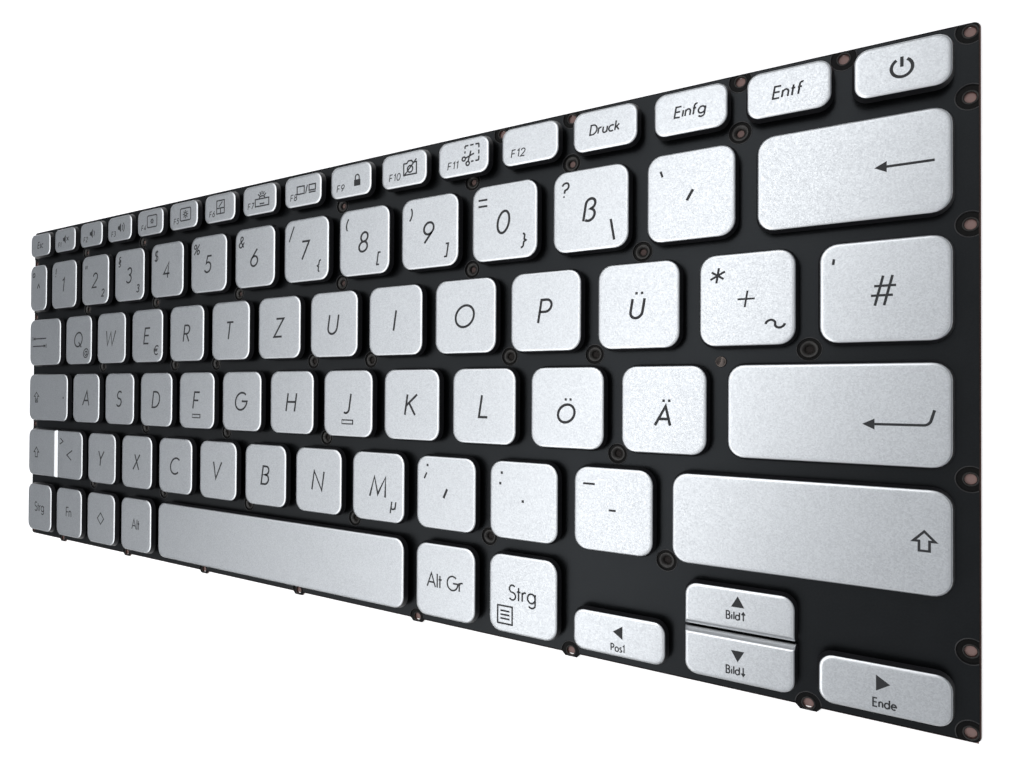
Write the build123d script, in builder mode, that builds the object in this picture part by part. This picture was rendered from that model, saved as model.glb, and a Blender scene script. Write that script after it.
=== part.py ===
"""Frameless laptop keyboard: key caps on scissor links and rubber domes, a contact film and a metal plate.

Millimetres. The keyboard lies on its plate with the keys up, +X to the typist's right, +Y away from
the typist, and the origin under the middle of the whole object.
"""
import os
from functools import cache
from math import asin, atan2, degrees, hypot

from build123d import *

os.makedirs("parts", exist_ok=True)

# Key grid, measured over the cap tops
key_pitch = 19.05
key_gap_x = 3.70
key_gap_y = 3.40
home_offset = 28.70
enter_width = 31.90
number_stagger = -0.75
upper_stagger = -0.25
lower_stagger = 0.50
space_width = 91.65
function_depth = 7.50
function_gap = 3.34
arrow_depth = 7.45
up_depth = 7.10
pair_gap = 0.65

# Caps
cap_height = 1.40
cap_roof = 0.70
cap_corner = 2.60
half_corner = 2.00
skirt_flare = 0.42
skirt_wall = 0.90
pair_bevel_width = 1.00
pair_bevel_drop = 0.45
travel = 1.40
stop_clearance = 0.10

# Scissor links, domes and stabiliser bars
link_span = 11.50
link_width = 11.50
link_arm = 0.60
link_bar = 1.00
link_thickness = 0.50
link_clearance = 0.20
link_pivot_gap = 0.15
seat_clearance = 0.05
dome_radius = 2.40
dome_top_share = 0.65
dome_clearance = 0.15
stabiliser_from = 24.0
stabiliser_wire = 0.60
stabiliser_reach = 8.00
stabiliser_inset = 0.80

# Plate and film
plate_thickness = 0.40
membrane_thickness = 0.25
side_margin = 3.80
rear_margin = 2.00
front_margin = 2.55
plate_corner = 1.00
lug_reach = 0.75
lug_width = 5.50
lug_slope = 45.0
lug_hole_inset = 0.40
edge_hole_inset = 1.30
hole_radius = 0.80
relief_radius = 1.90
film_inset = 0.30
hole_drop = 0.80

# Key names, row by row, as they stand from left to right
function_names = ["esc"] + [f"f{i}" for i in range(1, 13)] + ["print", "insert", "delete", "power"]
number_names = [f"digit_{i}" for i in (1, 2, 3, 4, 5, 6, 7, 8, 9, 0)] + ["eszett", "acute"]
upper_names = [*"qwertzuiop", "u_umlaut", "plus"]
home_names = [*"asdfghjkl", "o_umlaut", "a_umlaut"]
lower_names = [*"yxcvbnm", "comma", "period", "minus"]
space_names = ["left_control", "function", "system", "left_alt"]

# Heights
membrane_z = plate_thickness
deck_z = membrane_z + membrane_thickness
cap_base_z = deck_z + stop_clearance + travel
cap_roof_z = cap_base_z + cap_height - cap_roof
skirt_draft = degrees(atan2(skirt_flare, cap_height))
cavity = cap_roof_z - deck_z

# Places in plan
key_depth = key_pitch - key_gap_y
key_width = key_pitch - key_gap_x
block_depth = function_depth + 5 * key_pitch
block_width = home_offset + len(home_names) * key_pitch + enter_width
plate_width = block_width + 2 * side_margin
plate_depth = rear_margin + block_depth + front_margin
plate_rear = (plate_depth + lug_reach) / 2
plate_front = plate_rear - plate_depth
plate_middle = (plate_rear + plate_front) / 2
block_left = -block_width / 2
block_right = block_width / 2
block_rear = plate_rear - rear_margin
row_rear = [block_rear - function_depth - key_gap_y - i * key_pitch for i in range(5)]
number_rear, upper_rear, home_rear, lower_rear, space_rear = row_rear
space_front = space_rear - key_depth
home_left = block_left + home_offset
number_left = home_left + number_stagger * key_pitch
upper_left = home_left + upper_stagger * key_pitch
lower_left = home_left + lower_stagger * key_pitch


def run_of_keys(names, left, rear):
    """Keys of one pitch side by side, as {name: (left, right, rear, front)}."""
    lefts = [left + i * key_pitch for i in range(len(names))]
    return {n: (x, x + key_width, rear, rear - key_depth) for n, x in zip(names, lefts)}


def run_right(names, left):
    """Left edge of the key that follows a run."""
    return left + len(names) * key_pitch


# Function row: seventeen equal short keys across the whole block
function_pitch = (block_width + function_gap) / len(function_names)
function_width = function_pitch - function_gap
function_lefts = [block_left + i * function_pitch for i in range(len(function_names))]
function_front = block_rear - function_depth
function_keys = {
    n: (x, x + function_width, block_rear, function_front)
    for n, x in zip(function_names, function_lefts)
}

# Number row: the outer keys fill what the run of digits leaves
number_keys = {"caret": (block_left, number_left - key_gap_x, number_rear, number_rear - key_depth)}
number_keys |= run_of_keys(number_names, number_left, number_rear)

# Keys with a node each, as {name: (left, right, rear, front)}, from the backspace key on
keys = {
    "backspace": (run_right(number_names, number_left), block_right, number_rear, number_rear - key_depth),
    "tab": (block_left, upper_left - key_gap_x, upper_rear, upper_rear - key_depth),
    **run_of_keys(upper_names, upper_left, upper_rear),
    "hash": (run_right(upper_names, upper_left), block_right, upper_rear, upper_rear - key_depth),
    "caps_lock": (block_left, home_left - key_gap_x, home_rear, home_rear - key_depth),
    **run_of_keys(home_names, home_left, home_rear),
    "enter": (run_right(home_names, home_left), block_right, home_rear, home_rear - key_depth),
}

# Lower row: left shift and less-than stand close together in one long place
less_left = lower_left - key_pitch
keys["left_shift"] = (block_left, less_left - pair_gap, lower_rear, lower_rear - key_depth)
keys |= run_of_keys(["less_than", *lower_names], less_left, lower_rear)
keys["right_shift"] = (run_right(lower_names, lower_left), block_right, lower_rear, lower_rear - key_depth)

# Space row: the arrows share what is left beside the right control key
keys |= run_of_keys(space_names, block_left, space_rear)
space_left = run_right(space_names, block_left)
keys["space"] = (space_left, space_left + space_width, space_rear, space_front)
right_names = ["alt_graph", "right_control"]
right_left = space_left + space_width + key_gap_x
keys |= run_of_keys(right_names, right_left, space_rear)
arrow_left = run_right(right_names, right_left)
arrow_pitch = (block_right + key_gap_x - arrow_left) / 3
arrow_width = arrow_pitch - key_gap_x
up_left = arrow_left + arrow_pitch
right_arrow_left = up_left + arrow_pitch
arrow_rear = space_front + arrow_depth
keys["arrow_left"] = (arrow_left, arrow_left + arrow_width, arrow_rear, space_front)
keys["arrow_up"] = (up_left, up_left + arrow_width, space_rear, space_rear - up_depth)
keys["arrow_down"] = (up_left, up_left + arrow_width, space_rear - up_depth - pair_gap, space_front)
keys["arrow_right"] = (right_arrow_left, block_right, arrow_rear, space_front)

# The side of each paired cap that faces its partner
paired_side = {"left_shift": "right", "less_than": "left", "arrow_up": "front", "arrow_down": "rear"}
outward = {"right": (1, 0, 0), "left": (-1, 0, 0), "rear": (0, 1, 0), "front": (0, -1, 0)}


@cache
def key_cap(width, depth, facing=None):
    """One moulded cap over the origin: drafted sides, rounded corners and a pocket from below.

    A cap that faces a partner is cut off upright on that side, with square corners and a bevelled top edge.
    """
    corner = cap_corner if depth > arrow_depth + pair_gap else half_corner
    away = Vector(*outward[facing]) if facing else None
    with BuildPart() as cap:
        with BuildSketch(Plane.XY.offset(cap_base_z)) as base:
            Rectangle(width + 2 * skirt_flare, depth + 2 * skirt_flare)
            corners = base.vertices()
            if away:
                corners = corners.filter_by(lambda v: v.center().dot(away) < 0)
            fillet(corners, corner + skirt_flare)
        extrude(amount=cap_height, taper=skirt_draft)
        if away:
            half = (width if away.X else depth) / 2
            split(bisect_by=Plane(away * half, z_dir=away), keep=Keep.BOTTOM)
            top = cap.faces().sort_by(Axis.Z)[-1]
            facing_edge = top.edges().sort_by(Axis((0, 0, 0), away))[-1]
            chamfer(facing_edge, length=pair_bevel_width, length2=pair_bevel_drop, reference=top)
        with BuildSketch(Plane.XY.offset(cap_base_z)):
            Rectangle(width - 2 * skirt_wall, depth - 2 * skirt_wall)
        extrude(amount=cap_height - cap_roof, mode=Mode.SUBTRACT)
    return cap.part


def placed_cap(left, right, rear, front, facing=None):
    """The cap of one key, moved to its place."""
    middle = Pos((left + right) / 2, (rear + front) / 2)
    return middle * key_cap(round(right - left, 4), round(rear - front, 4), facing)


for name, place in keys.items():
    with BuildPart() as single_key:
        add(placed_cap(*place, facing=paired_side.get(name)))
    single_key.part.label = f"key_{name}"
    export_step(single_key.part, f"parts/key_{name}.step")

# Function row and number row, a node for each row
with BuildPart() as function_row_keys:
    add([placed_cap(*place) for place in function_keys.values()])
function_row_keys.part.label = "function_row_keys"
export_step(function_row_keys.part, "parts/function_row_keys.step")

with BuildPart() as number_row_keys:
    add([placed_cap(*place) for place in number_keys.values()])
number_row_keys.part.label = "number_row_keys"
export_step(number_row_keys.part, "parts/number_row_keys.step")


def link_size(left, right, rear, front):
    """Span along X and width along Y of the scissor pair that fits under a cap, beside any stabiliser bar."""
    width, depth = right - left, rear - front
    clear = 2 * (skirt_wall + link_clearance)
    bar_room = 2 * (stabiliser_wire + link_clearance) if width > stabiliser_from else 0
    return min(link_span, width - clear), min(link_width, depth - clear - bar_room)


# Keys of one size share one form of link and dome, as {(span, width): [middles]}
under_keys = {}
for left, right, rear, front in [*keys.values(), *function_keys.values(), *number_keys.values()]:
    size = tuple(round(v, 4) for v in link_size(left, right, rear, front))
    under_keys.setdefault(size, []).append(((left + right) / 2, (rear + front) / 2))

link_height = cavity - 2 * seat_clearance
link_middle_z = deck_z + cavity / 2


def scissor_link(span, width, sense):
    """A U of two arms and one bar, tilted so that it reaches from the film to the cap.

    With sense 1 the +X end is up and carries the bar; with sense -1 the +X end is down and carries it.
    """
    length = (span**2 - (link_height - link_thickness) ** 2) ** 0.5
    tilt = degrees(asin(link_height / hypot(length, link_thickness)) - atan2(link_thickness, length))
    lying = Plane((0, 0, link_middle_z)).rotated((0, -sense * tilt, 0))
    with BuildPart() as link:
        with BuildSketch(lying):
            Rectangle(length, width)
            with Locations((-link_bar, 0)):
                Rectangle(length, width - 2 * link_arm, mode=Mode.SUBTRACT)
        extrude(amount=link_thickness / 2, both=True)
    return link.part


def inner_width(width):
    """Width of the inner link, which turns between the arms of the outer one."""
    return width - 2 * (link_arm + link_pivot_gap)


def outer_link(span, width):
    """The link that rises towards +X."""
    return scissor_link(span, width, 1)


def inner_link(span, width):
    """The link that falls towards +X, between the arms of the other."""
    return scissor_link(span, inner_width(width), -1)


def set_under_keys(form):
    """One copy under every key of the form made for the size of its scissor pair."""
    copies = []
    for size, middles in under_keys.items():
        pattern = form(*size)
        copies += [Pos(x, y) * pattern for x, y in middles]
    return copies


with BuildPart() as scissor_outer_links:
    add(set_under_keys(outer_link))
scissor_outer_links.part.label = "scissor_outer_links"
export_step(scissor_outer_links.part, "parts/scissor_outer_links.step")

with BuildPart() as scissor_inner_links:
    add(set_under_keys(inner_link))
scissor_inner_links.part.label = "scissor_inner_links"
export_step(scissor_inner_links.part, "parts/scissor_inner_links.step")

# Rubber domes, glued to the film inside the inner links
dome_height = cavity - seat_clearance


def rubber_dome(span, width):
    """A six-sided frustum that stands clear of the inner link's arms."""
    radius = min(dome_radius, inner_width(width) / 2 - link_arm - dome_clearance)
    with BuildPart() as dome:
        with BuildSketch(Plane.XY.offset(deck_z)):
            RegularPolygon(radius, 6, major_radius=False)
        extrude(amount=dome_height, taper=degrees(atan2(radius * (1 - dome_top_share), dome_height)))
    return dome.part


with BuildPart() as rubber_domes:
    add(set_under_keys(rubber_dome))
rubber_domes.part.label = "rubber_domes"
export_step(rubber_domes.part, "parts/rubber_domes.step")

# Steel stabiliser bars behind the links of the widest keys, from the cap down to the film
wide_keys = [place for place in keys.values() if place[1] - place[0] > stabiliser_from]
with BuildPart() as stabiliser_bars:
    for left, right, rear, front in wide_keys:
        bar_y = rear - skirt_wall - link_clearance - stabiliser_wire / 2
        arm_x = (right - left) / 2 - skirt_wall - stabiliser_inset
        high = cap_roof_z - seat_clearance - stabiliser_wire / 2
        low = deck_z + seat_clearance + stabiliser_wire / 2
        middle_x = (left + right) / 2
        with BuildLine() as wire:
            Polyline(
                (middle_x - arm_x, bar_y - stabiliser_reach, low),
                (middle_x - arm_x, bar_y, high),
                (middle_x + arm_x, bar_y, high),
                (middle_x + arm_x, bar_y - stabiliser_reach, low),
            )
        with BuildSketch(Plane(wire.line @ 0, z_dir=wire.line % 0)):
            Circle(stabiliser_wire / 2)
        sweep(path=wire.line, transition=Transition.RIGHT)
stabiliser_bars.part.label = "stabiliser_bars"
export_step(stabiliser_bars.part, "parts/stabiliser_bars.step")

# Rivet holes: corners and edges of the plate, and the places where gaps between keys meet
edge_x = plate_width / 2 - edge_hole_inset
rear_y = plate_rear - edge_hole_inset
front_y = plate_front + edge_hole_inset
corner_holes = [(x, y) for x in (-edge_x, edge_x) for y in (front_y, rear_y)]
row_gap_y = key_gap_y / 2
side_rows = [number_rear + row_gap_y, upper_rear + row_gap_y, lower_rear + row_gap_y]
side_holes = [(x, y) for x in (-edge_x, edge_x) for y in side_rows] + [(edge_x, arrow_rear + key_gap_y)]
rear_holes = [(function_lefts[i] - function_gap / 2, rear_y) for i in (1, 2, 4, 5, 12, 13, 15, 16)]
lug_y = plate_front + lug_hole_inset
lug_xs = [block_left + (1 + 2 * i) * key_pitch - key_gap_x / 2 for i in range(6)]
lug_holes = [(x, lug_y) for x in [*lug_xs, right_arrow_left - key_gap_x / 2]]


def holes_below(row_left, rear, places):
    """Holes under the front edge of a row, at the gaps left of the keys with the given numbers."""
    return [(row_left + i * key_pitch - key_gap_x / 2, rear - key_depth - hole_drop) for i in places]


inner_holes = [
    *[(function_lefts[i] - function_gap / 2, function_front - hole_drop) for i in (2, 4, 13, 15)],
    *holes_below(number_left, number_rear + key_pitch, (7, 9)),
    *holes_below(number_left, number_rear, (1, 3, 5, 7, 9, 11)),
    *holes_below(upper_left, upper_rear, (1, 3, 4, 6, 7, 9, 10, 12)),
    *holes_below(home_left, home_rear, (2, 4, 6, 10)),
    *holes_below(lower_left, lower_rear, (0, 2, 4, 6, 8, 10)),
]
all_holes = [*corner_holes, *side_holes, *rear_holes, *lug_holes, *inner_holes]

with BuildPart() as base_plate:
    with BuildSketch():
        with Locations((0, plate_middle)):
            RectangleRounded(plate_width, plate_depth, plate_corner)
        with Locations(*[(x, plate_front) for x, _ in lug_holes]):
            Trapezoid(lug_width, 2 * lug_reach, lug_slope, rotation=180)
    extrude(amount=plate_thickness)
    with Locations(*all_holes):
        Hole(hole_radius)
base_plate.part.label = "base_plate"
export_step(base_plate.part, "parts/base_plate.step")

# Contact film, open round every hole
with BuildPart() as membrane:
    with BuildSketch(Plane.XY.offset(membrane_z)):
        with Locations((0, plate_middle)):
            Rectangle(plate_width - 2 * film_inset, plate_depth - 2 * film_inset)
        with Locations(*all_holes):
            Circle(relief_radius, mode=Mode.SUBTRACT)
    extrude(amount=membrane_thickness)
membrane.part.label = "membrane"
export_step(membrane.part, "parts/membrane.step")
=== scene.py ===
import math

import bpy
import numpy as np
from mathutils import Matrix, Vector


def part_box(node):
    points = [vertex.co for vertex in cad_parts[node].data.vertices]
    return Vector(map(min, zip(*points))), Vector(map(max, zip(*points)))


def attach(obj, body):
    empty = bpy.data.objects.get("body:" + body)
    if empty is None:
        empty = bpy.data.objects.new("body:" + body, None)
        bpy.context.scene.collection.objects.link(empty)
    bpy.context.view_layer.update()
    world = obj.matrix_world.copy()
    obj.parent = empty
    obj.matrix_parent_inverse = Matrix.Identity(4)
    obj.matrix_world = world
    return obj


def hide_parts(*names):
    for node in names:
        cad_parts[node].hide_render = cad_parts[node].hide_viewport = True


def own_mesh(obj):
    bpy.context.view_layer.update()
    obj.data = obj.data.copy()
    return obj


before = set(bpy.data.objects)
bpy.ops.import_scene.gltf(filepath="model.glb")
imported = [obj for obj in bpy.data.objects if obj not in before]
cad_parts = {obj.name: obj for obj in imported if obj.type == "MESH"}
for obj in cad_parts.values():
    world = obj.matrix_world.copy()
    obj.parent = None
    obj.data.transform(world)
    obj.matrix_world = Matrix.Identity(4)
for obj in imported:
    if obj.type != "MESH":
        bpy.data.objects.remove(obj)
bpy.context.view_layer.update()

# Base plate
# One stamped sheet of steel that carries every other piece, painted black on both faces.
# Its cut edges are bare and have browned a little; a pressed collar stands round every rivet hole.
MM = 0.001
skirt_flare = 0.42
key_gap = 3.70
function_gap = 3.34
plate_low, plate_high = (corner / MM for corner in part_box("base_plate"))
lug_reach = 0.75
plate_front = plate_low.y + lug_reach
plate_top = plate_high.z
function_names = ["esc"] + [f"f{i}" for i in range(1, 13)] + ["print", "insert", "delete", "power"]
number_names = [f"digit_{i}" for i in (1, 2, 3, 4, 5, 6, 7, 8, 9, 0)] + ["eszett", "acute"]
side_names = ("left", "right", "rear", "front")
paired_side = {"left_shift": "right", "less_than": "left", "arrow_up": "front", "arrow_down": "rear"}


def cap_edges(node):
    """Left, right, rear and front edge of the tops in a node: its box, drawn in by the flare of the skirts."""
    low, high = (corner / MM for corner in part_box(node))
    return [low.x + skirt_flare, high.x - skirt_flare, high.y - skirt_flare, low.y + skirt_flare]


# Every key's top as {name: [left, right, rear, front]}
keys = {n[4:]: cap_edges(n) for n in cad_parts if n.startswith("key_")}
single_names = list(keys)
for name, side in paired_side.items():
    outward = 1 if side in ("right", "rear") else -1
    keys[name][side_names.index(side)] += outward * skirt_flare
row_left, row_right, row_rear, row_front = cap_edges("function_row_keys")
function_pitch = (row_right - row_left + function_gap) / len(function_names)
for i, name in enumerate(function_names):
    left = row_left + i * function_pitch
    keys[name] = [left, left + function_pitch - function_gap, row_rear, row_front]
row_left, row_right, row_rear, row_front = cap_edges("number_row_keys")
key_width = keys["q"][1] - keys["q"][0]
key_pitch = key_width + key_gap
for i, name in enumerate(number_names):
    left = row_right - key_width - (len(number_names) - 1 - i) * key_pitch
    keys[name] = [left, left + key_width, row_rear, row_front]
keys["caret"] = [row_left, keys["digit_1"][0] - key_gap, row_rear, row_front]

# Rivet holes: the corners and edges of the plate, then the places where gaps between keys meet
hole_inset = 1.30
side_hole_rise = 1.70
arrow_hole_rise = 3.40
lug_hole_rise = 0.40
gap_hole_drop = 0.80
edge_x = plate_high.x - hole_inset
rear_y = plate_high.y - hole_inset
front_y = plate_front + hole_inset
lug_y = plate_front + lug_hole_rise
side_rows = [keys[n][2] + side_hole_rise for n in ("digit_1", "q", "y")]
holes = [(x, y) for x in (-edge_x, edge_x) for y in (front_y, rear_y, *side_rows)]
holes += [(edge_x, keys["arrow_right"][2] + arrow_hole_rise)]
holes += [(keys[n][0] - function_gap / 2, rear_y) for n in "f1 f2 f4 f5 f12 print delete power".split()]
holes += [(keys["esc"][0] + (1 + 2 * i) * key_pitch - key_gap / 2, lug_y) for i in range(6)]
holes += [(keys["arrow_right"][0] - key_gap / 2, lug_y)]
holes_under_row = {
    "f1": "f2 f4 print delete digit_8 digit_0",
    "digit_1": "digit_2 digit_4 digit_6 digit_8 digit_0 acute",
    "q": "w r t u i p u_umlaut hash",
    "a": "d g j a_umlaut",
    "y": "y c b m period right_shift",
}
for row, names in holes_under_row.items():
    for name in names.split():
        gap = function_gap if name in function_names else key_gap
        holes.append((keys[name][0] - gap / 2, keys[row][3] - gap_hole_drop))
holes = np.array(holes)


def grid_quads(count, rows, columns, closed):
    """Corners of every cell of some grids, each of rows by columns points; closed joins last column to first."""
    i, j = np.meshgrid(np.arange(rows - 1), np.arange(columns if closed else columns - 1), indexing="ij")
    k = (j + 1) % columns
    cell = np.stack(
        [i * columns + j, i * columns + k, (i + 1) * columns + k, (i + 1) * columns + j], -1
    ).reshape(-1, 4)
    return (np.arange(count)[:, None, None] * rows * columns + cell).reshape(-1, 4).tolist()


def revolved(profile, centres, steps):
    """A profile of (radius, height) turned round each centre in equal steps of an angle a.

    x = cx + r cos a, y = cy + r sin a, z = height.
    """
    r, z = np.asarray(profile, float).T[:, None, :, None]
    a = np.linspace(0, 2 * np.pi, steps, endpoint=False)
    x, y = np.asarray(centres, float).T[:, :, None, None]
    points = np.stack(np.broadcast_arrays(x + r * np.cos(a), y + r * np.sin(a), z), -1)
    return points.reshape(-1, 3), grid_quads(len(centres), len(profile), steps, True)


round_turn = 60


def add_piece(name, points, faces, material, body, slot, sharp=35):
    """A mesh at the origin from points in millimetres, shaded smooth up to an angle, riding on a body."""
    mesh = bpy.data.meshes.new(name)
    mesh.from_pydata((np.asarray(points) * MM).tolist(), [], faces)
    mesh.polygons.foreach_set("use_smooth", np.ones(len(mesh.polygons), bool))
    mesh.set_sharp_from_angle(angle=math.radians(sharp))
    mesh.materials.append(material)
    made = bpy.data.objects.new(name, mesh)
    bpy.context.scene.collection.objects.link(made)
    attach(made, body)
    return made


def shader_node(tree, kind, inputs, **settings):
    """One shader node with its settings, each input given as a value or as a socket to link from."""
    made = tree.nodes.new(kind)
    for key, value in settings.items():
        setattr(made, key, value)
    for key, value in inputs.items():
        if isinstance(value, bpy.types.NodeSocket):
            tree.links.new(value, made.inputs[key])
        else:
            made.inputs[key].default_value = value
    return made


def new_finish(name):
    """An empty material: the material, its node tree and its Principled shader."""
    material = bpy.data.materials.new(name)
    material.use_nodes = True
    return material, material.node_tree, material.node_tree.nodes["Principled BSDF"]


def reckoned(tree, operation, *values):
    """The result of a sum on one or two values, each of which may be a socket."""
    return shader_node(tree, "ShaderNodeMath", dict(enumerate(values)), operation=operation).outputs[0]


def ramp(tree, value, start, stop, low=0.0):
    """A value that runs evenly from low to 1 while another one goes from start to stop."""
    inputs = {"Value": value, "From Min": start, "From Max": stop, "To Min": low}
    return shader_node(tree, "ShaderNodeMapRange", inputs).outputs[0]


# Fine grain that every surface here shows: two noises on the piece's own coordinates, as a value from 0 to 1
grain = bpy.data.node_groups.new("fine_grain", "ShaderNodeTree")
grain.interface.new_socket("Scale", in_out="INPUT", socket_type="NodeSocketFloat")
grain.interface.new_socket("Grain", in_out="OUTPUT", socket_type="NodeSocketFloat")
grain_in = grain.nodes.new("NodeGroupInput")
grain_out = grain.nodes.new("NodeGroupOutput")
grain_place = shader_node(grain, "ShaderNodeTexCoord", {})
grain_fine = shader_node(
    grain, "ShaderNodeTexNoise",
    {
        "Vector": grain_place.outputs["Object"], "Scale": grain_in.outputs["Scale"], "Detail": 3.0,
        "Roughness": 0.6
    }
)
grain_wide = reckoned(grain, "MULTIPLY", grain_in.outputs["Scale"], 0.06)
grain_soft = shader_node(
    grain, "ShaderNodeTexNoise", {"Vector": grain_place.outputs["Object"], "Scale": grain_wide, "Detail": 2.0}
)
grain_mix = shader_node(
    grain, "ShaderNodeMix", {0: 0.35, 2: grain_fine.outputs["Fac"], 3: grain_soft.outputs["Fac"]}
)
grain.links.new(ramp(grain, grain_mix.outputs[0], 0.3, 0.7), grain_out.inputs["Grain"])


def add_grain(tree, scale):
    """The grain group in a material, at so many grains to the metre."""
    made = tree.nodes.new("ShaderNodeGroup")
    made.node_tree = grain
    made.inputs["Scale"].default_value = scale
    return made.outputs["Grain"]


def between(tree, factor, low, high):
    """A value that runs from low to high as the factor goes from 0 to 1."""
    return shader_node(
        tree, "ShaderNodeMapRange", {"Value": factor, "To Min": low, "To Max": high}
    ).outputs[0]


def colour_between(tree, factor, low, high):
    """A colour that runs from low to high as the factor goes from 0 to 1; either may be a socket."""
    ends = [c if isinstance(c, bpy.types.NodeSocket) else (*c, 1.0) for c in (low, high)]
    return shader_node(
        tree, "ShaderNodeMix", {0: factor, 6: ends[0], 7: ends[1]}, data_type="RGBA"
    ).outputs[2]


def set_bump(tree, shader, height, strength, distance):
    """Small relief from a height, in metres, on the shader's normal."""
    bump = shader_node(tree, "ShaderNodeBump", {"Height": height, "Strength": strength, "Distance": distance})
    tree.links.new(bump.outputs[0], shader.inputs["Normal"])


def grained_finish(name, scale, colours, roughness):
    """A finish whose colour and roughness follow the fine grain: its material, node tree, shader and grain."""
    material, tree, shader = new_finish(name)
    grain_value = add_grain(tree, scale)
    tree.links.new(colour_between(tree, grain_value, *colours), shader.inputs["Base Color"])
    tree.links.new(between(tree, grain_value, *roughness), shader.inputs["Roughness"])
    return material, tree, shader, grain_value


plate_finish, tree, shader = new_finish("painted_plate")
plate_grain = add_grain(tree, 2600.0)
facing = shader_node(tree, "ShaderNodeNewGeometry", {})
upright = shader_node(tree, "ShaderNodeSeparateXYZ", {0: facing.outputs["True Normal"]})
flat = ramp(tree, reckoned(tree, "ABSOLUTE", upright.outputs[2]), 0.25, 0.6)
plate_place = shader_node(tree, "ShaderNodeTexCoord", {})
plate_across = shader_node(tree, "ShaderNodeSeparateXYZ", {0: plate_place.outputs["Object"]})
from_middle = reckoned(tree, "ABSOLUTE", plate_across.outputs[0])
worn_edge, sound_paint = ((plate_high.x - inset) * MM for inset in (0.05, 0.30))
painted = reckoned(tree, "MULTIPLY", flat, ramp(tree, from_middle, worn_edge, sound_paint, 0.35))
paint_colour = colour_between(tree, plate_grain, (0.003, 0.003, 0.003), (0.008, 0.008, 0.008))
bare_colour = colour_between(tree, plate_grain, (0.110, 0.060, 0.050), (0.220, 0.140, 0.120))
tree.links.new(colour_between(tree, painted, bare_colour, paint_colour), shader.inputs["Base Color"])
tree.links.new(between(tree, painted, 0.85, 0.0), shader.inputs["Metallic"])
tree.links.new(between(tree, plate_grain, 0.38, 0.56), shader.inputs["Roughness"])
shader.inputs["Specular IOR Level"].default_value = 0.1
set_bump(tree, shader, plate_grain, 0.15, 0.00002)
for plate_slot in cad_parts["base_plate"].material_slots:
    plate_slot.material = plate_finish

collar_colours = (0.013, 0.012, 0.011), (0.032, 0.029, 0.027)
collar_finish, tree, shader, _ = grained_finish("pressed_collar", 2600.0, collar_colours, (0.30, 0.46))
shader.inputs["Specular IOR Level"].default_value = 0.4
collar_steps = 24
inner_count = sum(len(names.split()) for names in holes_under_row.values())
wide_collar = [
    (1.48, -0.03), (1.46, 0.10), (1.40, 0.17), (1.28, 0.20), (1.10, 0.17), (0.95, 0.09), (0.80, 0.01),
    (0.70, -0.10), (0.62, -0.24), (0.60, -0.36), (0.81, -0.38)
]
edge_collar = [
    (1.10, -0.03), (1.08, 0.05), (1.02, 0.10), (0.94, 0.11), (0.87, 0.08), (0.83, 0.0), (0.82, -0.06)
]
for name, profile, centres in [
    ("inner", wide_collar, holes[-inner_count:]), ("edge", edge_collar, holes[:-inner_count])
]:
    collar = revolved(np.array(profile) + (0, plate_top), centres, collar_steps)
    add_piece(f"rivet_collars_{name}", *collar, collar_finish, "base", "plate_metal", round_turn)

# Contact film
# Layers of printed polyester laid over the plate and opened in a circle round every rivet hole.
# Black with a low sheen, a fine tooth to its surface and a faint cloudiness where it lies unevenly.
film_low, film_high = (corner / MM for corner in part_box("membrane"))
film_top = film_high.z
film_colours = (0.0026, 0.0028, 0.0031), (0.0062, 0.0066, 0.0072)
film_finish, tree, shader, film_grain = grained_finish("contact_film", 3200.0, film_colours, (0.28, 0.38))
shader.inputs["Specular IOR Level"].default_value = 0.26
shader.inputs["Specular Tint"].default_value = (0.86, 0.93, 1.0, 1.0)
set_bump(tree, shader, film_grain, 0.2, 0.00002)
for film_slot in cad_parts["membrane"].material_slots:
    film_slot.material = film_finish

bead_colours = (0.014, 0.014, 0.015), (0.026, 0.026, 0.028)
bead_finish, *_ = grained_finish("film_edge", 3200.0, bead_colours, (0.28, 0.42))
bead_radius = 1.96
bead_steps = 28


def joined_meshes(meshes):
    """Several meshes as one: points in line, faces counted on."""
    starts = np.cumsum([0] + [len(points) for points, _ in meshes])
    faces = [[start + i for i in face] for start, (_, part) in zip(starts, meshes) for face in part]
    return np.concatenate([points for points, _ in meshes]), faces


def mitred(path):
    """The level normal at each point of a path, lengthened so that a strip keeps its width round a corner."""
    step = np.diff(path[:, :2], axis=0)
    step = step / np.linalg.norm(step, axis=1, keepdims=True)
    side = np.stack([-step[:, 1], step[:, 0]], 1)
    ring = np.allclose(path[0], path[-1])
    before = np.vstack([side[-1:] if ring else side[:1], side])
    after = np.vstack([side, side[:1] if ring else side[-1:]])
    return (before + after) / np.maximum(1 + (before * after).sum(1, keepdims=True), 0.3)


def carried(path, profile):
    """A profile of (across, up) carried along a path and closed at both ends.

    point = path + across * level normal + up * z.
    """
    across = np.pad(mitred(path), ((0, 0), (0, 1)))
    points = path[:, None] + profile[None, :, :1] * across[:, None] + profile[None, :, 1:] * (0, 0, 1)
    n, m = len(path), len(profile)
    ends = [list(range(m))[::-1], list(range((n - 1) * m, n * m))]
    return points.reshape(-1, 3), grid_quads(1, n, m, True) + ends


def bow(x, y, rx, ry, start, stop):
    """An arc of an ellipse about (x, y) between two angles in degrees, a point about every twelve degrees."""
    a = np.radians(np.linspace(start, stop, max(3, int(abs(stop - start) / 12) + 1)))
    return np.stack([x + rx * np.cos(a), y + ry * np.sin(a)], 1)


# Round an inner hole the bead is a ring; near an edge it is the part of the ring that lies on the film
bead_ring = np.array(
    [(0.10, -0.02), (0.08, 0.02), (0.02, 0.045), (-0.04, 0.045), (-0.09, 0.0), (-0.10, -0.20)]
)
beads = [revolved(bead_ring + (bead_radius, film_top), holes[-inner_count:], bead_steps)]
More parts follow.
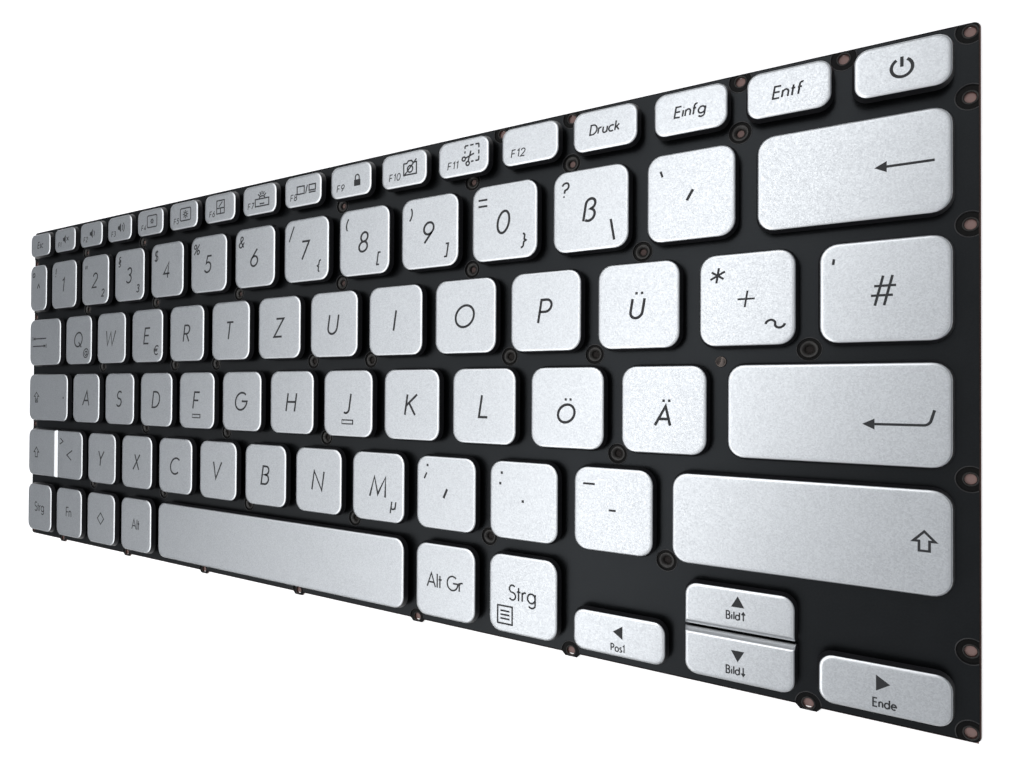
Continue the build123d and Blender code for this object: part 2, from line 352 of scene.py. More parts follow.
# Bearings go round twice, so that no stretch on the film is cut at its start
bearing = np.arange(0, 720, 4)
for x, y in holes[:-inner_count]:
    ring_x, ring_y = x + bead_radius * np.cos(
        np.radians(bearing)
    ), y + bead_radius * np.sin(np.radians(bearing))
    on_film = (np.abs(ring_x) < film_high.x) & (ring_y < film_high.y) & (ring_y > film_low.y)
    start = np.flatnonzero(~on_film[:-1] & on_film[1:])[0] + 1
    stop = start + np.flatnonzero(on_film[start:-1] & ~on_film[start + 1:])[0]
    arc = bow(x, y, bead_radius, bead_radius, bearing[start], bearing[stop])
    beads.append(carried(np.column_stack([arc, np.full(len(arc), film_top)]), bead_ring[::-1] * (-1, 1)))
add_piece("film_opening_beads", *joined_meshes(beads), bead_finish, "base", "black_film", round_turn)

# A small eyelet holds the film down behind the left end of the enter key
eyelet_colours = (0.06, 0.049, 0.045), (0.12, 0.103, 0.096)
eyelet_finish, tree, shader, _ = grained_finish("browned_eyelet", 2600.0, eyelet_colours, (0.20, 0.32))
shader.inputs["Metallic"].default_value = 1.0
eyelet = np.array(
    [(0.98, -0.02), (0.97, 0.18), (0.93, 0.26), (0.86, 0.27), (0.79, 0.24), (0.47, 0.11), (0.15, 0.012)]
)
eyelet_place = [(keys["enter"][0] - 1.75, keys["enter"][2] + 0.77)]
eyelet_steps = 20
points, faces = revolved(eyelet + (0, film_top), eyelet_place, eyelet_steps)
floor_ring = list(range((len(eyelet) - 1) * eyelet_steps, len(eyelet) * eyelet_steps))
add_piece("film_eyelet", points, faces + [floor_ring], eyelet_finish, "base", "plate_metal", round_turn)

# Rubber domes
# Moulded silicone bells glued to the film, one under every cap; they buckle and push the key back up.
# A foot ring, a thin flank and a flat boss that the cap rests on.
cap_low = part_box("key_q")[0].z / MM
cap_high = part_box("key_q")[1].z / MM
cap_thick = 0.70
seat_gap = 0.05
widest_dome = 2.4
longest_link = 11.5
cap_roof = cap_high - cap_thick
cavity = cap_roof - film_top
skirt_wall = 0.90
wide_from = 24.0
wire_thick = 0.60
link_arm = 0.60
link_gap = 0.15
link_free = 0.20


def link_size(left, right, rear, front):
    """Span along X and width along Y of a cap's scissor pair: what the skirt and a wide key's bar leave free."""
    free = 2 * (skirt_wall + link_free)
    bar = 2 * (wire_thick + link_free) if right - left > wide_from else 0
    return min(longest_link, right - left - free), min(longest_link, rear - front - free - bar)


def key_middle(name):
    """Middle of a key's top in plan."""
    left, right, rear, front = keys[name]
    return np.array([(left + right) / 2, (rear + front) / 2])


dome_colours = (0.050, 0.051, 0.055), (0.075, 0.076, 0.080)
dome_finish, tree, shader, dome_grain = grained_finish("dome_silicone", 1800.0, dome_colours, (0.5, 0.66))
set_bump(tree, shader, dome_grain, 0.1, 0.00003)
bell = np.array(
    [
        (1.10, 0.0), (1.10, 0.10), (1.02, 0.15), (0.95, 0.35), (0.86, 0.60), (0.76, 0.82), (0.69, 0.86),
        (0.67, 0.96), (0.60, 1.0)
    ]
)
bell_steps = 18
fixed_names = [n for n in keys if n not in single_names]


def dome_mesh(name):
    """The bell under one key: the profile turned round its middle, closed on top by one face."""
    inner = link_size(*keys[name])[1] - 2 * (link_arm + link_gap)
    radius = min(widest_dome, inner / 2 - link_arm - link_free)
    points, faces = revolved(
        bell * (radius, cavity - seat_gap) + (0, film_top), [key_middle(name)], bell_steps
    )
    last = (len(bell) - 1) * bell_steps
    return points, faces + [list(range(last, last + bell_steps))]


def set_under(kind, mesh_of, finish, slot, nodes):
    """A piece under each moving key, each with a mesh of its own, and one piece for all keys that stay."""
    for name in single_names:
        made = add_piece(f"{kind}_{name}", *mesh_of(name), finish, "base", slot)
        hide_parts(*nodes)
        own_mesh(made)
    made = add_piece(
        f"{kind}_upper_rows", *joined_meshes([mesh_of(n) for n in fixed_names]), finish, "base", slot
    )
    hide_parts(*nodes)


set_under("dome", dome_mesh, dome_finish, "dome_rubber", ["rubber_domes"])

# Scissor links
# Two moulded frames that cross under each cap, the inner one turning between the arms of the outer one.
# Black nylon; they hook into the cap above and into the plate below, and keep the key level as it goes down.
link_thick = 0.50
link_round = 0.8
link_rise = cavity - 2 * seat_gap - link_thick


def line(*points):
    """A run of straight lines through the given points."""
    return np.array(points, float)


link_profile = np.array(
    [
        (0.24, 0.25), (-0.24, 0.25), (-0.30, 0.19), (-0.30, -0.19), (-0.24, -0.25), (0.24, -0.25),
        (0.30, -0.19), (0.30, 0.19)
    ]
)


def link_frame(span, width, sense):
    """A U with rounded corners in plan that rises evenly from end to end; sense says which end is high."""
    x, y = span / 2 - link_arm / 2, width / 2 - link_arm / 2
    plan = np.concatenate(
        [
            line((-x, -y)), bow(x - link_round, link_round - y, link_round, link_round, -90, 0),
            bow(x - link_round, y - link_round, link_round, link_round, 0, 90), line((-x, y))
        ]
    )
    height = film_top + cavity / 2 + sense * link_rise * plan[:, 0] / (2 * x)
    return carried(np.column_stack([plan, height]), link_profile)


def scissor_mesh(name):
    """The crossed pair under one key, the inner frame narrower by two arms and two gaps."""
    span, width = link_size(*keys[name])
    pair = [link_frame(span, width, 1), link_frame(span, width - 2 * (link_arm + link_gap), -1)]
    points, faces = joined_meshes(pair)
    return points + (*key_middle(name), 0), faces


link_colours = (0.016, 0.016, 0.017), (0.030, 0.030, 0.032)
link_finish, tree, shader, link_grain = grained_finish("link_nylon", 2200.0, link_colours, (0.38, 0.52))
set_bump(tree, shader, link_grain, 0.08, 0.00002)
set_under(
    "scissor", scissor_mesh, link_finish, "link_plastic", ["scissor_outer_links", "scissor_inner_links"]
)

# Stabiliser bars
# Bent steel wires behind the links of the five widest keys, hooked to the cap along their middle
# and to the plate at their ends, so that both ends of a long cap go down together. Bright drawn wire.
wire_colours = (0.48, 0.48, 0.49), (0.62, 0.62, 0.63)
wire_finish, tree, shader, _ = grained_finish("drawn_wire", 4200.0, wire_colours, (0.24, 0.42))
shader.inputs["Metallic"].default_value = 1.0
wire_round = bow(0, 0, wire_thick / 2, wire_thick / 2, 0, 330)[::3]
wire_reach = 8.0
wire_inset = 0.80
wire_bend = 0.9
for name in single_names:
    left, right, rear, front = keys[name]
    if right - left <= wide_from:
        continue
    half = (right - left) / 2 - skirt_wall - wire_inset
    back = rear - skirt_wall - link_free - wire_thick / 2
    plan = np.concatenate(
        [
            line((-half, back - wire_reach)),
            bow(wire_bend - half, back - wire_bend, wire_bend, wire_bend, 180, 90),
            bow(half - wire_bend, back - wire_bend, wire_bend, wire_bend, 90, 0),
            line((half, back - wire_reach))
        ]
    )
    lowest, highest = film_top + seat_gap + wire_thick / 2, cap_roof - seat_gap - wire_thick / 2
    height = lowest + (highest - lowest) * (plan[:, 1] - back + wire_reach) / wire_reach
    path = np.column_stack([plan[:, 0] + (left + right) / 2, plan[:, 1], height])
    bar = add_piece(
        f"stabiliser_{name}", *carried(path, wire_round), wire_finish, "base", "wire_steel", round_turn
    )
    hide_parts("stabiliser_bars")
    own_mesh(bar)

# Key caps
# Shallow hollow caps moulded in black plastic: flat tops, rounded corners, skirts that flare to the film.
# The tops are sprayed with flaked silver paint that stops at the turn of the edge; along the rim the silver is
# lightened to a painted highlight.
cap_top = cap_high - 0.10
edge_round = 0.26
edge_reach = 0.50
corner_round = 2.60
half_round = 2.00
shoulder = 0.45
turn_steps = 7
cap_foot = 0.06
flat_inset = 0.30
straight_lead = 0.30
pocket_round = 0.30
paired_round = 0.12
full_depth = 8.2
# Bevel on each side that faces a partner: its width, the radius of its crest and its slope in degrees
bevels = {
    "left_shift": (1.50, 1.0, 19), "less_than": (0.50, 0.3, 45), "arrow_up": (0.90, 0.8, 30),
    "arrow_down": (1.06, 0.5, 45)
}


def rounded_rings(left, right, rear, front, radii, steps):
    """Outlines with rounded corners, one a level: a quarter turn of its radius about each corner's centre.

    A short straight stretch before and after each turn keeps the shading of the long sides even.
    """
    angle = np.radians(90 * np.arange(4)[:, None] + np.r_[0, np.linspace(0, 90, steps), 90])
    ahead = np.r_[-straight_lead, np.zeros(steps), straight_lead]
    x = np.stack([right, left, left, right], 1) - (1, -1, -1, 1) * radii
    y = np.stack([rear, rear, front, front], 1) - (1, 1, -1, -1) * radii
    ring = [
        x[..., None] + radii[..., None] * np.cos(angle) - ahead * np.sin(angle),
        y[..., None] + radii[..., None] * np.sin(angle) + ahead * np.cos(angle)
    ]
    return np.stack(ring, -1).reshape(len(left), -1, 2)


def bevel_depth(width, crest, slope):
    """Depth of a bevel under the top: the arc of its crest, then its slope over the rest of its width."""
    slope = math.radians(slope)
    return crest * (1 - math.cos(slope)) + (width - crest * math.sin(slope)) * math.tan(slope)


def bevel_run(depth, width, crest, slope):
    """How far a bevel has come in from its foot at each depth: up its slope, then over its crest's arc."""
    slope = math.radians(slope)
    turned = crest * (1 - math.cos(slope))
    on_crest = np.sqrt(np.maximum(2 * crest * depth - depth ** 2, 0))
    on_slope = crest * math.sin(slope) + (depth - turned) / math.tan(slope)
    return np.maximum(width - np.where(depth < turned, on_crest, on_slope), 0)


def cap_mesh(name):
    """One cap as level outlines: the pocket's roof, down its wall, under the skirt, up the flank, over the edge.

    Each level stands out from the top's outline by its own amount. A side that faces a partner goes straight up
    and then comes in over its bevel; its two corners are square.
    """
    left, right, rear, front = keys[name]
    facing = paired_side.get(name)
    turn = np.radians(np.linspace(0, 90, turn_steps))
    side = skirt_flare * edge_round / (cap_top - cap_low)
    flank_z = np.array(
        [cap_low, cap_low + cap_foot, cap_top - (bevel_depth(*bevels[name]) if facing else shoulder)]
    )
    flank = skirt_flare * (cap_top - flank_z) / (cap_top - cap_low)
    z = np.concatenate(
        [[cap_roof, cap_low], flank_z, cap_top - edge_round + edge_round * np.sin(turn), [cap_top]]
    )
    out = np.concatenate(
        [
            [-skirt_wall, -skirt_wall], flank, -edge_reach + (side + edge_reach) * np.cos(turn),
            [-edge_reach - flat_inset]
        ]
    )
    sides = {"left": left - out, "right": right + out, "rear": rear + out, "front": front - out}
    corner = corner_round if rear - front > full_depth else half_round
    radii = np.repeat(np.maximum(corner + out, pocket_round)[:, None], 4, 1)
    radii[:2] = pocket_round
    if facing:
        inward = 1 if facing in ("left", "front") else -1
        edge = keys[name][side_names.index(facing)]
        run = bevel_run(cap_top - z, *bevels[name])
        run[:2], run[-1] = skirt_wall, run[-1] + flat_inset
        sides[facing] = edge + inward * run
        radii[:, {"right": [0, 3], "left": [1, 2], "rear": [0, 1], "front": [2, 3]}[facing]] = paired_round
    rings = rounded_rings(*(sides[s] for s in side_names), radii, turn_steps)
    count = rings.shape[1]
    points = np.concatenate([rings, np.broadcast_to(z[:, None, None], (len(z), count, 1))], -1).reshape(-1, 3)
    last = (len(z) - 1) * count
    return points, grid_quads(1, len(z), count, True) + [
        list(range(count))[::-1], list(range(last, last + count))
    ]


cap_finish, tree, shader = new_finish("silver_cap")
place = shader_node(tree, "ShaderNodeTexCoord", {})
facing = shader_node(tree, "ShaderNodeNewGeometry", {})
upright = shader_node(tree, "ShaderNodeSeparateXYZ", {0: facing.outputs["Normal"]})
sprayed = ramp(tree, upright.outputs[2], 0.58, 0.70)
painted_rim_highlight = ramp(tree, upright.outputs[2], 0.998, 0.975)
flakes = shader_node(tree, "ShaderNodeTexVoronoi", {"Vector": place.outputs["Object"], "Scale": 5200.0})
flake_shade = shader_node(tree, "ShaderNodeSeparateColor", {0: flakes.outputs["Color"]})
cap_grain = add_grain(tree, 2400.0)
silver = colour_between(tree, flake_shade.outputs[0], (0.50, 0.52, 0.545), (0.64, 0.665, 0.69))
silver = colour_between(tree, between(tree, cap_grain, 0.0, 0.35), silver, (0.70, 0.725, 0.75))
# Painted highlight: the silver goes almost white where the top starts to round over at its rim
silver = colour_between(tree, between(tree, painted_rim_highlight, 0.0, 0.8), silver, (0.86, 0.88, 0.90))
moulded = colour_between(tree, cap_grain, (0.014, 0.014, 0.016), (0.026, 0.026, 0.029))
tree.links.new(colour_between(tree, sprayed, moulded, silver), shader.inputs["Base Color"])
tree.links.new(between(tree, sprayed, 0.0, 0.85), shader.inputs["Metallic"])
flake_rough = between(tree, flake_shade.outputs[1], 0.29, 0.43)
flake_rough = shader_node(tree, "ShaderNodeMix", {0: painted_rim_highlight, 2: flake_rough, 3: 0.30}).outputs[0]
tree.links.new(
    shader_node(tree, "ShaderNodeMix", {0: sprayed, 2: 0.42, 3: flake_rough}).outputs[0],
    shader.inputs["Roughness"]
)
set_bump(tree, shader, flake_shade.outputs[2], 0.08, 0.00002)

for name in keys:
    moving = name in single_names
    node = f"key_{name}" if moving else "function_row_keys" if name in function_names else "number_row_keys"
    cap = add_piece(f"cap_{name}", *cap_mesh(name), cap_finish, node if moving else "base", "key_plastic")
    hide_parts(node)

# Homing bars
# A short raised rib near the front of the caps under the two index fingers, moulded with the cap.
# A thin dark line of ink round the foot of the rib is painted shade.
rib_half = 1.6
rib_drop = 4.4
rib_round = np.array(
    [(0.36, -0.01), (0.30, 0.075), (0.20, 0.09), (-0.20, 0.09), (-0.30, 0.075), (-0.36, -0.01)]
)
for name in ("f", "j"):
    x, y = key_middle(name)
    rib_path = line((x - rib_half, y - rib_drop, cap_top), (x + rib_half, y - rib_drop, cap_top))
    add_piece(
        f"homing_bar_{name}", *carried(rib_path, rib_round), cap_finish, f"key_{name}", "key_plastic",
        round_turn
    )

# Printed legends
# Thin slanted letters, digits and signs printed in dark grey ink, second and third signs in the corners.
# Each is drawn here as strokes of an even pen, on a height of one, and set in its place on the key.
ink_colours = (0.027, 0.028, 0.031), (0.046, 0.047, 0.051)
ink_finish, tree, shader, _ = grained_finish("legend_ink", 5200.0, ink_colours, (0.42, 0.6))
shader.inputs["Specular IOR Level"].default_value = 0.25


def curve(*parts):
    """Lines and arcs joined into one stroke."""
    return np.concatenate(parts)


def dot(x, y, size=0.09):
    """A square dot: a short stroke as wide as it is long."""
    return line((x - size / 2, y), (x + size / 2, y)), size, size


def frame_of(left, low, right, high):
    """The four sides of a rectangle as one closed stroke."""
    return line((left, low), (right, low), (right, high), (left, high), (left, low))


def mirrored(strokes):
    """The same strokes turned left to right about the middle of their width."""
    reach = max(s[:, 0].max() for s in strokes)
    return [np.column_stack([reach - s[:, 0], s[:, 1]]) for s in strokes]


def scaled(strokes, share, rise=0.0):
    """The same strokes made smaller and moved up."""
    return [
        (
            s[0] * share + (0, rise), s[1] * share, s[2] * share
        ) if isinstance(s, tuple) else s * share + (0, rise)
        for s in strokes
    ]


def rays(x, y, inner, outer, count, start=0.0, turn=360.0):
    """Short strokes that point away from a centre, at equal angles."""
    a = np.radians(start + turn * np.arange(count) / count)
    way = np.stack([np.cos(a), np.sin(a)], 1)
    return [np.stack([(x, y) + inner * w, (x, y) + outer * w]) for w in way]


signs = {
    "A": [line((0, 0), (0.40, 1), (0.80, 0)), line((0.14, 0.34), (0.66, 0.34))],
    "B": [
        curve(
            line((0, 0.52), (0, 1), (0.26, 1)), bow(0.26, 0.76, 0.24, 0.24, 80, -90),
            line((0, 0.52), (0.30, 0.52)), bow(0.30, 0.26, 0.26, 0.26, 80, -90), line((0, 0), (0, 0.52))
        )
    ],
    "C": [bow(0.5, 0.5, 0.5, 0.5, 48, 312)],
    "D": [curve(line((0, 0), (0, 1), (0.24, 1)), bow(0.24, 0.5, 0.48, 0.5, 80, -90), line((0, 0)))],
    "E": [line((0.52, 1), (0, 1), (0, 0), (0.52, 0)), line((0, 0.52), (0.47, 0.52))],
    "F": [line((0.50, 1), (0, 1), (0, 0)), line((0, 0.50), (0.44, 0.50))],
    "G": [curve(bow(0.5, 0.5, 0.5, 0.5, 48, 360), line((0.54, 0.5)))],
    "H": [line((0, 0), (0, 1)), line((0.66, 0), (0.66, 1)), line((0, 0.52), (0.66, 0.52))],
    "I": [line((0, 0), (0, 1))],
    "J": [curve(line((0.36, 1)), bow(0.16, 0.2, 0.2, 0.2, 0, -130))],
    "K": [line((0, 0), (0, 1)), line((0.58, 1), (0, 0.44)), line((0.16, 0.59), (0.62, 0))],
    "L": [line((0, 1), (0, 0), (0.46, 0))],
    "M": [line((0, 0), (0.14, 1), (0.50, 0.14), (0.86, 1), (1.0, 0))],
    "N": [line((0, 0), (0, 1), (0.72, 0), (0.72, 1))],
    "O": [bow(0.5, 0.5, 0.5, 0.5, 0, 360)],
    "P": [curve(line((0, 0), (0, 1), (0.26, 1)), bow(0.26, 0.74, 0.26, 0.26, 80, -90), line((0, 0.48)))],
    "Q": [bow(0.5, 0.5, 0.5, 0.5, 0, 360), line((0.56, 0.32), (0.98, -0.06))],
    "S": [curve(bow(0.27, 0.755, 0.24, 0.245, 35, 270), bow(0.27, 0.255, 0.27, 0.255, 78, -150))],
    "T": [line((0, 1), (0.58, 1)), line((0.29, 1), (0.29, 0))],
    "U": [curve(line((0, 1)), bow(0.32, 0.32, 0.32, 0.32, 180, 360), line((0.64, 1)))],
    "V": [line((0, 1), (0.37, 0), (0.74, 1))],
    "W": [line((0, 1), (0.27, 0), (0.55, 0.9), (0.83, 0), (1.10, 1))],
    "X": [line((0, 0), (0.60, 1)), line((0.04, 1), (0.64, 0))],
    "Y": [line((0, 1), (0.33, 0.46), (0.66, 1)), line((0.33, 0.46), (0.33, 0))],
    "Z": [line((0.02, 1), (0.60, 1), (0, 0), (0.62, 0))],
    "0": [bow(0.30, 0.5, 0.30, 0.5, 0, 360)],
    "1": [line((0, 0.80), (0.22, 1), (0.22, 0))],
    "2": [curve(bow(0.28, 0.72, 0.28, 0.28, 170, -38), line((0, 0), (0.58, 0)))],
    "3": [curve(bow(0.26, 0.76, 0.24, 0.24, 155, -80), bow(0.26, 0.26, 0.28, 0.26, 80, -155))],
    "4": [line((0.44, 0), (0.44, 1), (0, 0.27), (0.62, 0.27))],
    "5": [curve(line((0.52, 1), (0.14, 1), (0.08, 0.56)), bow(0.25, 0.31, 0.30, 0.31, 118, -150))],
    "6": [curve(line((0.44, 1)), bow(0.29, 0.29, 0.29, 0.29, 150, 500))],
    "7": [line((0, 1), (0.55, 1), (0.16, 0))],
    "8": [bow(0.28, 0.76, 0.23, 0.24, 0, 360), bow(0.28, 0.26, 0.28, 0.26, 0, 360)],
    "9": [curve(line((0.14, 0)), bow(0.29, 0.71, 0.29, 0.29, -30, 320))],
    "ß": [
        curve(
            line((0, 0)), bow(0.23, 0.77, 0.23, 0.23, 180, -50), line((0.22, 0.54)),
            bow(0.24, 0.27, 0.27, 0.27, 80, -125)
        )
    ],
    "c": [bow(0.31, 0.31, 0.31, 0.31, 50, 310)],
    "d": [bow(0.31, 0.31, 0.31, 0.31, 0, 360), line((0.62, 0), (0.62, 1))],
    "e": [curve(line((0.02, 0.33)), bow(0.31, 0.31, 0.30, 0.31, 6, 310))],
    "f": [curve(line((0.12, 0)), bow(0.29, 0.82, 0.17, 0.18, 180, 60)), line((0, 0.60), (0.32, 0.60))],
    "g": [
        bow(0.31, 0.31, 0.31, 0.31, 0, 360), curve(line((0.62, 0.62)), bow(0.34, -0.10, 0.28, 0.22, 0, -150))
    ],
    "i": [line((0.05, 0), (0.05, 0.62)), dot(0.05, 0.88)],
    "k": [line((0, 0), (0, 1)), line((0.40, 0.62), (0, 0.26)), line((0.13, 0.38), (0.44, 0))],
    "l": [line((0.04, 0), (0.04, 1))],
    "n": [line((0, 0), (0, 0.62)), curve(bow(0.23, 0.38, 0.23, 0.24, 180, 0), line((0.46, 0)))],
    "o": [bow(0.31, 0.31, 0.31, 0.31, 0, 360)],
    "r": [line((0, 0), (0, 0.62)), bow(0.22, 0.36, 0.22, 0.26, 180, 65)],
    "t": [line((0.13, 0.88), (0.13, 0)), line((0, 0.60), (0.30, 0.60))],
    "u": [
        curve(line((0, 0.62)), bow(0.23, 0.24, 0.23, 0.24, 180, 360), line((0.46, 0.62))),
        line((0.46, 0.3), (0.46, 0))
    ],
    "!": [line((0, 1), (0, 0.30)), dot(0, 0.05, 0.12)],
    '"': [line((0, 1), (0, 0.62)), line((0.26, 1), (0.26, 0.62))],
    "'": [line((0, 1), (0, 0.5))],
    "%": [
        bow(0.20, 0.78, 0.18, 0.20, 0, 360), bow(0.72, 0.22, 0.18, 0.20, 0, 360), line((0.12, 0), (0.80, 1))
    ],
    "&": [
        curve(
            line((0.66, 0), (0.15, 0.66)), bow(0.29, 0.82, 0.17, 0.18, 200, -45), line((0.10, 0.40)),
            bow(0.25, 0.24, 0.25, 0.24, 140, 320), line((0.66, 0.48))
        )
    ],
    "/": [line((0, 0), (0.30, 1))],
    "\\": [line((0, 1), (0.34, 0))],
    "(": [bow(0.72, 0.5, 0.60, 0.72, 136, 224)],
    "[": [line((0.24, 1), (0, 1), (0, 0), (0.24, 0))],
    "{": [
        curve(
            bow(0.34, 0.86, 0.18, 0.14, 90, 180), line((0.16, 0.60), (0, 0.5), (0.16, 0.40)),
            bow(0.34, 0.14, 0.18, 0.14, 180, 270)
        )
    ],
    "=": [line((0, 0.60), (1, 0.60)), line((0, 0), (1, 0))],
    "?": [
        curve(bow(0.25, 0.75, 0.25, 0.25, 170, -50), line((0.25, 0.48), (0.25, 0.28))), dot(0.25, 0.05, 0.12)
    ],
    "´": [line((0, 0), (0.42, 1))],
    "`": [line((0, 1), (0.5, 0))],
    "^": [line((0, 0), (0.5, 0.8), (1, 0))],
    "°": [bow(0.5, 0.5, 0.5, 0.5, 0, 360)],
    "@": [
        bow(0.52, 0.48, 0.22, 0.24, 0, 360),
        curve(line((0.74, 0.72)), bow(0.87, 0.42, 0.13, 0.16, 180, 350), bow(0.52, 0.5, 0.52, 0.5, 8, 318))
    ],
    "€": [bow(0.56, 0.5, 0.42, 0.5, 50, 310), line((0, 0.60), (0.72, 0.60)), line((0, 0.42), (0.66, 0.42))],
    "+": [line((0, 0.5), (1, 0.5)), line((0.5, 0), (0.5, 1))],
    "*": rays(0.5, 0.5, 0.0, 0.5, 6, 90.0),
    "~": [curve(bow(0.25, 0, 0.25, 0.22, 180, 0), bow(0.75, 0, 0.25, 0.22, 180, 360)[1:])],
    "#": [
        line((0.17, 0), (0.25, 1)), line((0.44, 0), (0.52, 1)), line((0, 0.34), (0.64, 0.34)),
        line((0.04, 0.66), (0.68, 0.66))
    ],
    "<": [line((0.85, 0.9), (0, 0.45), (0.85, 0))],
    "µ": [
        line((0, -0.36), (0, 0.66)),
        curve(line((0, 0.3)), bow(0.23, 0.24, 0.23, 0.24, 180, 360), line((0.46, 0.66))),
        line((0.46, 0.3), (0.46, 0))
    ],
    ",": [line((0, 0), (0.30, 1))],
    ".": [dot(0, 0, 1.0)],
    ":": [dot(0, 0, 0.24), dot(0, 1, 0.24)],
    ";": [line((-0.08, -0.1), (0.08, 0.4)), dot(0.06, 1, 0.2)],
    "-": [line((0, 0), (1, 0))],
    "arrow_up": [(line((0, 0), (0, 1)), 1.15, 0.0)],
    "arrow_down": [(line((0, 1), (0, 0)), 1.15, 0.0)],
    "arrow_left": [(line((1, 0), (0, 0)), 1.3, 0.0)],
    "arrow_right": [(line((0, 0), (1, 0)), 1.3, 0.0)],
    "thin_up": [line((0, 0), (0, 0.9)), line((-0.2, 0.7), (0, 1), (0.2, 0.7))],
    "thin_down": [line((0, 0.1), (0, 1)), line((-0.2, 0.3), (0, 0), (0.2, 0.3))],
    "long_left": [line((1.4, 0), (7.9, 0)), (line((1.7, 0), (0, 0)), 1.7, 0.0)],
    "turned_left": [
        curve(line((1.4, 0)), bow(8.1, 1.0, 1.0, 1.0, -90, -12), line((9.5, 2.3))),
        (line((1.7, 0), (0, 0)), 1.7, 0.0)
    ],
    "to_and_fro": [
        line((1.2, 2.6), (9.0, 2.6)), (line((1.6, 2.6), (0.2, 2.6)), 1.2, 0.0), line((0, 1.9), (0, 3.3)),
        line((0, 0), (7.8, 0)), (line((7.4, 0), (8.8, 0)), 1.2, 0.0), line((9.0, -0.7), (9.0, 0.7))
    ],
    "shift": [
        line((0.48, 1), (0, 0.5), (0.25, 0.5), (0.25, 0), (0.71, 0), (0.71, 0.5), (0.96, 0.5), (0.48, 1))
    ],
    "shift_lock": [
        line((0.48, 1), (0, 0.6), (0.25, 0.6), (0.25, 0.3), (0.71, 0.3), (0.71, 0.6), (0.96, 0.6), (0.48, 1)),
        frame_of(0.25, 0, 0.71, 0.14)
    ],
    "plain_diamond": [line((0.5, 1), (1, 0.5), (0.5, 0), (0, 0.5), (0.5, 1))],
    "menu": [frame_of(0, 0, 0.95, 1)] + [line((0.18, y), (0.78, y)) for y in (0.28, 0.5, 0.72)],
    "power": [bow(0.5, 0.46, 0.5, 0.5, 120, 420), line((0.5, 0.5), (0.5, 1.06))],
    "padlock": [
        (line((0.0, 0.9), (2.0, 0.9)), 1.5, 1.5),
        curve(line((0.4, 1.6)), bow(1.0, 2.2, 0.6, 0.6, 180, 0), line((1.6, 1.6)))
    ],
    "pointing_pad": [
        frame_of(0, 0, 3.2, 3.6), line((0, 1.5), (3.2, 1.5)), line((1.6, 0), (1.6, 1.5)),
        line((0.9, 1.9), (2.4, 3.2))
    ],
    "two_screens": [
        frame_of(0, 0, 2.5, 1.9), line((3.0, -0.1), (3.6, 2.0)), frame_of(4.2, 0.5, 6.4, 1.9),
        line((4.1, 0), (6.5, 0))
    ],
    "no_camera": [
        line((0, 0), (3.6, 0), (3.6, 2.6), (2.6, 2.6), (2.2, 3.1), (1.3, 3.1), (0.9, 2.6), (0, 2.6), (0, 0)),
        bow(1.8, 1.25, 0.75, 0.75, 0, 360), line((0, -0.2), (3.6, 3.3))
    ],
    "lit_key": [
        frame_of(0, 0, 5.2, 1.9), line((1.7, 0.6), (3.5, 0.6)), bow(2.6, 1.9, 1.1, 0.7, 180, 0)
    ] + rays(2.6, 1.9, 1.1, 2.0, 5, 40.0, 125.0),
    # A frame of ink round the foot of a homing rib: painted shade
    "rib_edge": [frame_of(-1.65, -0.40, 1.65, 0.40)],
}
signs["R"] = signs["P"] + [line((0.24, 0.48), (0.56, 0))]
signs["s"] = scaled(signs["S"], 0.62)
signs["$"] = signs["S"] + [line((0.27, -0.12), (0.27, 1.12))]
signs["§"] = scaled(signs["S"], 0.62, 0.40) + scaled(signs["S"], 0.62, -0.02)
signs["²"], signs["³"] = signs["2"], signs["3"]
for sign, other in zip(")]}>", "([{<"):
    signs[sign] = mirrored(signs[other])
for sign, other, x in zip("ÄÖÜ", "AOU", (0.29, 0.36, 0.23)):
    signs[sign] = scaled(signs[other], 0.74) + [dot(x - 0.11, 0.95, 0.10), dot(x + 0.11, 0.95, 0.10)]
speaker = [(line((0, 1.5), (0.8, 1.5)), 1.1, 1.1), (line((0.6, 1.5), (1.7, 1.5)), 0.9, 3.0)]
signs["sound_off"] = speaker + [line((2.3, 0.9), (3.5, 2.1)), line((2.3, 2.1), (3.5, 0.9))]
signs["sound_low"] = speaker + [bow(1.6, 1.5, 1.1, 1.1, -48, 48)]
signs["sound_high"] = signs["sound_low"] + [bow(1.6, 1.5, 1.9, 1.9, -45, 45)]
screen = [
    curve(
        *(
            bow(x, y, 0.5, 0.5, a, a + 90) for x, y,
            a in [(4.3, 3.0, 0), (0.5, 3.0, 90), (0.5, 0.5, 180), (4.3, 0.5, 270)]
        ),
        line((4.8, 3.0))
    ),
    bow(2.4, 1.75, 0.45, 0.45, 0, 360)
]
signs["light_low"] = screen + rays(2.4, 1.75, 0.7, 0.85, 8)
signs["light_high"] = screen + rays(2.4, 1.75, 0.7, 1.2, 8)
cut_line = [(0, 0.86), (1.32, 2.18), (2.64, 3.5)]
signs["cut_out"] = [line(*ends) for a, b in cut_line for ends in [((a, 3.5), (b, 3.5)), ((3.5, a), (3.5, b))]]
signs["cut_out"] += [
    line((0, 1.9), (0, 2.4)), line((0, 2.9), (0, 3.5)), line((1.5, 0), (2.2, 0)), line((2.64, 0), (3.5, 0)),
    line((0.1, 0.9), (2.3, 1.6)), line((0.8, 0.1), (1.5, 2.3)), bow(-0.3, 0.8, 0.42, 0.42, 0, 360),
    bow(0.7, -0.3, 0.42, 0.42, 0, 360)
]

